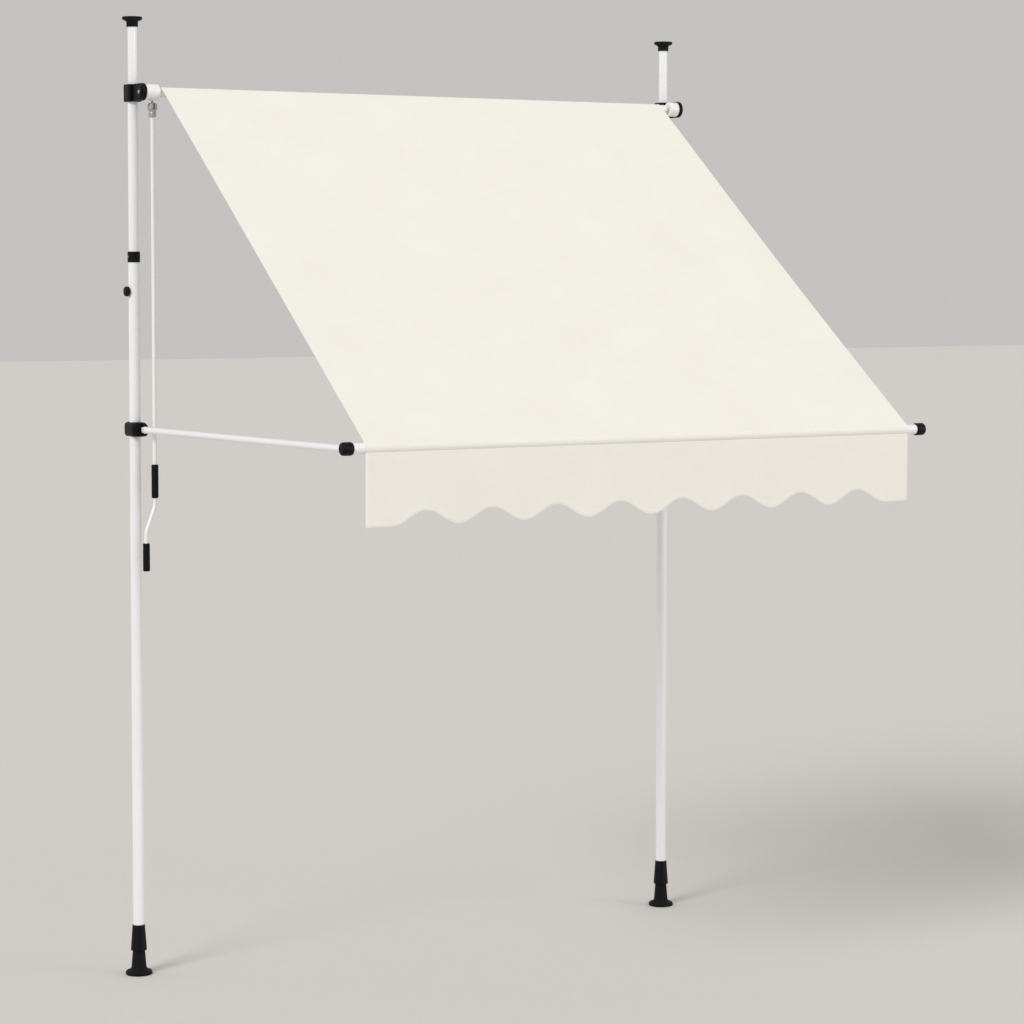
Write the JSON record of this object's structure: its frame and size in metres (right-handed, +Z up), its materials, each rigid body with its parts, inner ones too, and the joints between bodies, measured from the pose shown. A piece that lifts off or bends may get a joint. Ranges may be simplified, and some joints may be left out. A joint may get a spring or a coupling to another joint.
{
  "type": "clamp awning",
  "caption": "Floor-to-ceiling clamp awning with telescopic poles, crank-driven roller, swing-out arms and a cream canvas canopy with a scalloped valance.",
  "frame": {"origin": "on the floor, under the middle of the awning's overall width and depth", "axes": "+Z up along the poles, front bar towards -Y, +X to the right seen from the front"},
  "size_m": [2.058, 1.478, 3],
  "materials": {
    "white_paint": "white powder coat on steel tube, satin",
    "black_plastic": "moulded black nylon, fine satin grain",
    "white_plastic": "moulded white plastic, soft gloss",
    "cream_plastic": "moulded cream plastic",
    "foot_rubber": "moulded black rubber, matt",
    "zinc_casting": "die cast zinc, dull grey",
    "plated_steel": "bright zinc plated",
    "canvas": "cream woven awning canvas, plain weave, matt"
  },
  "bodies": {
    "poles": {"left_foot_sleeve": "black_plastic", "left_lower_tube": "white_paint", "left_tube_collar": "black_plastic", "right_foot_sleeve": "black_plastic", "right_lower_tube": "white_paint", "right_tube_collar": "black_plastic"},
    "mast": {"left_mid_tube": "white_paint", "left_roller_bracket": "black_plastic", "left_axle_bolt": "plated_steel", "left_arm_bracket": "black_plastic", "left_clamp_screw": "plated_steel", "left_pivot_bolt": "plated_steel", "right_mid_tube": "white_paint", "right_roller_bracket": "black_plastic", "right_axle_bolt": "plated_steel", "right_arm_bracket": "black_plastic", "right_clamp_screw": "plated_steel", "right_pivot_bolt": "plated_steel", "gear_housing": "white_plastic", "idler_drum": "white_plastic"},
    "arms": {"left_arm": "white_paint", "left_bar_end": "black_plastic", "right_arm": "white_paint", "right_bar_end": "black_plastic"},
    "front_bar": {"front_bar": "white_paint", "valance": "canvas"},
    "canopy": {"canopy": "canvas"},
    "roller": {"roller_tube": "white_paint", "drive_plug": "zinc_casting", "idler_plug": "cream_plastic"},
    "worm": {"worm_eye": "zinc_casting"},
    "crank": {"joint_fork": "zinc_casting", "joint_pin": "plated_steel", "crank_rod": "white_paint"},
    "upper_grip": {"crank_grip_upper": "black_plastic"},
    "lower_grip": {"crank_grip_lower": "black_plastic"},
    "left_foot": {"left_foot": "foot_rubber", "left_foot_screw": "plated_steel"},
    "left_knob": {"left_lock_knob": "black_plastic"},
    "left_top": {"left_top_tube": "white_paint", "left_ceiling_pad": "foot_rubber"},
    "right_foot": {"right_foot": "foot_rubber", "right_foot_screw": "plated_steel"},
    "right_knob": {"right_lock_knob": "black_plastic"},
    "right_top": {"right_top_tube": "white_paint", "right_ceiling_pad": "foot_rubber"}
  },
  "joints": [
    {"name": "left_foot_jack", "type": "slide", "parent": "poles", "child": "left_foot", "axis": [0, 0, 1], "range_m": [0, 0.025]},
    {"name": "left_knob_turn", "type": "hinge", "parent": "poles", "child": "left_knob", "pos_m": [-1.01, 0.697, 2.1505], "axis": [1, 0, 0], "continuous": true},
    {"name": "left_top_slide", "type": "slide", "parent": "mast", "child": "left_top", "axis": [0, 0, 1], "range_m": [-0.165, 0]},
    {"name": "right_foot_jack", "type": "slide", "parent": "poles", "child": "right_foot", "axis": [0, 0, 1], "range_m": [0, 0.025]},
    {"name": "right_knob_turn", "type": "hinge", "parent": "poles", "child": "right_knob", "pos_m": [1.01, 0.697, 2.1505], "axis": [1, 0, 0], "continuous": true},
    {"name": "right_top_slide", "type": "slide", "parent": "mast", "child": "right_top", "axis": [0, 0, 1], "range_m": [-0.165, 0]},
    {"name": "height_slide", "type": "slide", "parent": "poles", "child": "mast", "axis": [0, 0, 1], "range_m": [-0.45, 0]},
    {"name": "arm_swing", "type": "hinge", "parent": "mast", "child": "arms", "pos_m": [0, 0.642, 1.721], "axis": [-1, 0, 0], "range_deg": [0, 62]},
    {"name": "bar_hang", "type": "hinge", "parent": "arms", "child": "front_bar", "pos_m": [0, -0.7203, 1.7326], "axis": [-1, 0, 0], "range_deg": [-63, 1]},
    {"name": "canopy_swing", "type": "hinge", "parent": "mast", "child": "canopy", "pos_m": [0, 0.615, 2.7646], "axis": [-1, 0, 0], "range_deg": [-1, 55], "deforming": ["canopy"]},
    {"name": "roller_turn", "type": "hinge", "parent": "mast", "child": "roller", "pos_m": [0, 0.615, 2.7646], "axis": [1, 0, 0], "range_deg": [-1, 4081]},
    {"name": "worm_turn", "type": "hinge", "parent": "mast", "child": "worm", "pos_m": [-0.957, 0.615, 2.7646], "axis": [0, 0, 1], "continuous": true},
    {"name": "crank_tilt", "type": "hinge", "parent": "worm", "child": "crank", "pos_m": [-0.957, 0.615, 2.722], "axis": [-1, 0, 0], "range_deg": [0, 30]},
    {"name": "upper_grip_spin", "type": "hinge", "parent": "crank", "child": "upper_grip", "pos_m": [-0.957, 0.615, 1.56], "axis": [0, 0, 1], "continuous": true},
    {"name": "lower_grip_spin", "type": "hinge", "parent": "crank", "child": "lower_grip", "pos_m": [-0.994, 0.6, 1.33], "axis": [0, 0, 1], "continuous": true}
  ],
  "couplings": [
    {"joint": "bar_hang", "follows": "arm_swing", "ratio": -1},
    {"joint": "canopy_swing", "follows": "arm_swing", "ratio": 0.85469},
    {"joint": "roller_turn", "follows": "arm_swing", "ratio": 65.501}
  ]
}
